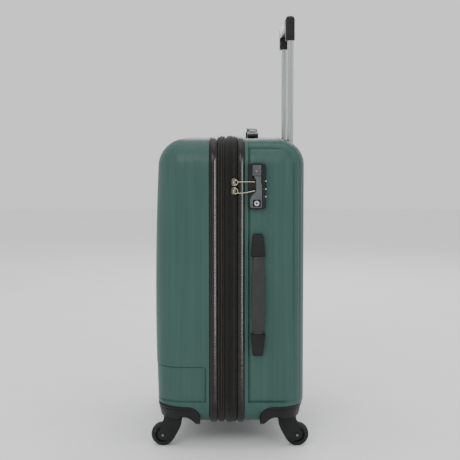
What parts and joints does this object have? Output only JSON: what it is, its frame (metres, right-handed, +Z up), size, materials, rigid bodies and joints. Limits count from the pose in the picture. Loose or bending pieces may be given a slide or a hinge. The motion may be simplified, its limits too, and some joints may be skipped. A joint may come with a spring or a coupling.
{
  "type": "hard shell suitcase",
  "caption": "Upright hard shell spinner suitcase with two half shells, expanding zipped gusset, telescopic trolley, carrying handles, zip lock and swivel casters.",
  "frame": {"origin": "on the floor, under the middle of the whole object's box", "axes": "+Z up; -Y is the plain front shell; +Y is the trolley side; +X is the side with the lock and the side handle"},
  "size_m": [0.4742, 0.3366, 0.9222],
  "materials": {
    "green_shell": "dark green moulded shell, satin gloss, fine vertical brushed texture",
    "black_plastic": "black moulded plastic, fine grain",
    "black_trim": "glossy black piping",
    "black_fabric": "black woven gusset fabric",
    "zip_tape": "black coil zip and tape",
    "lining": "charcoal polyester lining",
    "tyre": "black polyurethane tread",
    "rubber_grip": "soft black grip",
    "aluminium": "drawn and anodised",
    "silver_plastic": "satin silver plating",
    "lock_grey": "blue grey, satin",
    "steel": "bright plated steel",
    "brass": "pale gold plated"
  },
  "bodies": {
    "back_case": {"back_shell": "green_shell", "back_lining": "lining", "rear_trim": "black_trim", "main_zip_rear": "zip_tape", "hinge_strip": "black_fabric", "trolley_cup": "black_plastic", "trolley_foot": "black_plastic", "left_outer_tube": "aluminium", "right_outer_tube": "aluminium", "side_handle_upper_cap": "black_plastic", "side_handle_lower_cap": "black_plastic", "top_handle_right_foot": "black_plastic", "top_handle_left_foot": "black_plastic", "lock_body": "black_plastic", "lock_cover": "lock_grey", "rear_right_housing": "black_plastic", "rear_left_housing": "black_plastic"},
    "lid_frame": {"gusset_band": "black_fabric", "expander_zip_rear": "zip_tape", "expansion_sleeve": "black_fabric"},
    "front_case": {"front_shell": "green_shell", "front_lining": "lining", "front_trim": "black_trim", "expander_zip_front": "zip_tape", "front_right_housing": "black_plastic", "front_left_housing": "black_plastic"},
    "middle_stage": {"left_middle_tube": "aluminium", "right_middle_tube": "aluminium"},
    "grip_stage": {"left_inner_tube": "aluminium", "right_inner_tube": "aluminium", "trolley_grip": "black_plastic", "grip_face": "silver_plastic"},
    "trolley_button": {"release_button": "silver_plastic"},
    "side_handle": {"side_handle_grip": "rubber_grip"},
    "top_handle": {"top_handle_grip": "silver_plastic"},
    "lock_push": {"lock_button": "lock_grey"},
    "dial_wheel_1": {"dial_1": "steel"},
    "dial_wheel_2": {"dial_2": "steel"},
    "dial_wheel_3": {"dial_3": "steel"},
    "key_barrel": {"key_cylinder": "steel"},
    "upper_zip_slider": {"upper_slider": "brass"},
    "lower_zip_slider": {"lower_slider": "brass"},
    "upper_zip_pull": {"upper_pull": "brass"},
    "lower_zip_pull": {"lower_pull": "brass"},
    "front_right_swivel": {"front_right_fork": "black_plastic", "front_right_axle": "steel"},
    "front_right_wheel": {"front_right_hub": "black_plastic", "front_right_tyre": "tyre"},
    "front_left_swivel": {"front_left_fork": "black_plastic", "front_left_axle": "steel"},
    "front_left_wheel": {"front_left_hub": "black_plastic", "front_left_tyre": "tyre"},
    "rear_right_swivel": {"rear_right_fork": "black_plastic", "rear_right_axle": "steel"},
    "rear_right_wheel": {"rear_right_hub": "black_plastic", "rear_right_tyre": "tyre"},
    "rear_left_swivel": {"rear_left_fork": "black_plastic", "rear_left_axle": "steel"},
    "rear_left_wheel": {"rear_left_hub": "black_plastic", "rear_left_tyre": "tyre"}
  },
  "joints": [
    {"name": "lid_hinge", "type": "hinge", "parent": "back_case", "child": "lid_frame", "pos_m": [-0.23935, 0.0082, 0.359], "axis": [0, 0, -1], "range_deg": [0, 180]},
    {"name": "expansion", "type": "slide", "parent": "lid_frame", "child": "front_case", "axis": [0, -1, 0], "range_m": [0, 0.04]},
    {"name": "middle_stage_slide", "type": "slide", "parent": "back_case", "child": "middle_stage", "axis": [0, 0, 1], "range_m": [0, 0.15]},
    {"name": "grip_stage_slide", "type": "slide", "parent": "middle_stage", "child": "grip_stage", "axis": [0, 0, 1], "range_m": [-0.255, 0]},
    {"name": "trolley_button_press", "type": "slide", "parent": "grip_stage", "child": "trolley_button", "axis": [0, 0, -1], "range_m": [0, 0.003], "stiffness_N_per_m": 500},
    {"name": "side_handle_pull", "type": "slide", "parent": "back_case", "child": "side_handle", "axis": [1, 0, 0], "range_m": [0, 0.003], "stiffness_N_per_m": 400},
    {"name": "top_handle_pull", "type": "slide", "parent": "back_case", "child": "top_handle", "axis": [0, 0, 1], "range_m": [0, 0.003], "stiffness_N_per_m": 400},
    {"name": "lock_button_push", "type": "slide", "parent": "back_case", "child": "lock_push", "axis": [-1, 0, 0], "range_m": [0, 0.002], "stiffness_N_per_m": 300},
    {"name": "dial_1_turn", "type": "hinge", "parent": "back_case", "child": "dial_wheel_1", "pos_m": [0.22185, 0.0712, 0.5699], "axis": [0, 0, 1], "continuous": true},
    {"name": "dial_2_turn", "type": "hinge", "parent": "back_case", "child": "dial_wheel_2", "pos_m": [0.22185, 0.0712, 0.5537], "axis": [0, 0, 1], "continuous": true},
    {"name": "dial_3_turn", "type": "hinge", "parent": "back_case", "child": "dial_wheel_3", "pos_m": [0.22185, 0.0712, 0.538], "axis": [0, 0, 1], "continuous": true},
    {"name": "key_turn", "type": "hinge", "parent": "back_case", "child": "key_barrel", "pos_m": [0.22185, 0.0554, 0.524], "axis": [1, 0, 0], "range_deg": [0, 90]},
    {"name": "upper_slider_run", "type": "slide", "parent": "back_case", "child": "upper_zip_slider", "axis": [0, 0, 1], "range_m": [0, 0.028]},
    {"name": "lower_slider_run", "type": "slide", "parent": "back_case", "child": "lower_zip_slider", "axis": [0, 0, 1], "range_m": [-0.075, 0]},
    {"name": "upper_pull_swing", "type": "hinge", "parent": "upper_zip_slider", "child": "upper_zip_pull", "pos_m": [0.22555, 0.0099, 0.568], "axis": [0, 0, -1], "range_deg": [0, 100]},
    {"name": "lower_pull_swing", "type": "hinge", "parent": "lower_zip_slider", "child": "lower_zip_pull", "pos_m": [0.22555, 0.0099, 0.5497], "axis": [0, 0, -1], "range_deg": [0, 100]},
    {"name": "front_right_swivel_turn", "type": "hinge", "parent": "front_case", "child": "front_right_swivel", "pos_m": [0.17185, -0.122, 0.064], "axis": [0, 0, 1], "continuous": true},
    {"name": "front_right_wheel_roll", "type": "hinge", "parent": "front_right_swivel", "child": "front_right_wheel", "pos_m": [0.17185, -0.1435, 0.02479], "axis": [1, 0, 0], "continuous": true},
    {"name": "front_left_swivel_turn", "type": "hinge", "parent": "front_case", "child": "front_left_swivel", "pos_m": [-0.18815, -0.122, 0.064], "axis": [0, 0, 1], "continuous": true},
    {"name": "front_left_wheel_roll", "type": "hinge", "parent": "front_left_swivel", "child": "front_left_wheel", "pos_m": [-0.18815, -0.1435, 0.02479], "axis": [1, 0, 0], "continuous": true},
    {"name": "rear_right_swivel_turn", "type": "hinge", "parent": "back_case", "child": "rear_right_swivel", "pos_m": [0.17185, 0.122, 0.064], "axis": [0, 0, 1], "continuous": true},
    {"name": "rear_right_wheel_roll", "type": "hinge", "parent": "rear_right_swivel", "child": "rear_right_wheel", "pos_m": [0.17185, 0.1435, 0.02479], "axis": [1, 0, 0], "continuous": true},
    {"name": "rear_left_swivel_turn", "type": "hinge", "parent": "back_case", "child": "rear_left_swivel", "pos_m": [-0.18815, 0.122, 0.064], "axis": [0, 0, 1], "continuous": true},
    {"name": "rear_left_wheel_roll", "type": "hinge", "parent": "rear_left_swivel", "child": "rear_left_wheel", "pos_m": [-0.18815, 0.1435, 0.02479], "axis": [1, 0, 0], "continuous": true}
  ]
}
